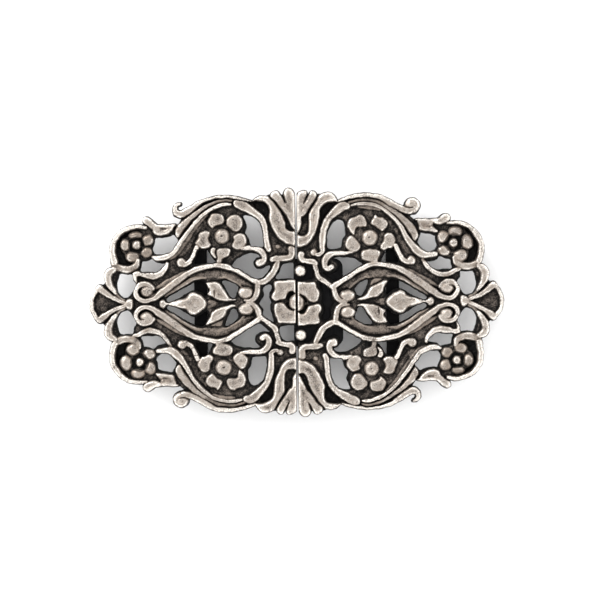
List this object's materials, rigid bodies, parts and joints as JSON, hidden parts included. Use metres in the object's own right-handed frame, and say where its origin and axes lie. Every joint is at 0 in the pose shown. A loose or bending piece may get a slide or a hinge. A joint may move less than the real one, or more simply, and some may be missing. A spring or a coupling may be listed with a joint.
{
  "type": "apron clasp",
  "caption": "Pierced floral apron clasp: two matching cast halves, hooked together behind the centre flower, with ribbon bars on the back",
  "frame": {"origin": "middle of the underside of the ribbon bars, at the seam, where the clasp rests on a table", "axes": "+X along the clasp from the left tip to the right tip, +Y up the front as worn, +Z out of the ornamented front"},
  "size_m": [0.07, 0.0378, 0.0066],
  "materials": {
    "antique_silver": "worn antique silver plate with black patina in the hollows",
    "dark_steel": "dark brushed steel",
    "bright_silver": "polished rivet heads"
  },
  "bodies": {
    "root": {"left_casting": "antique_silver", "right_casting": "antique_silver", "left_ribbon_bar": "dark_steel", "right_ribbon_bar": "dark_steel", "hook_plate": "dark_steel", "upper_stud": "bright_silver", "lower_stud": "bright_silver", "catch_loop": "dark_steel"}
  },
  "joints": []
}
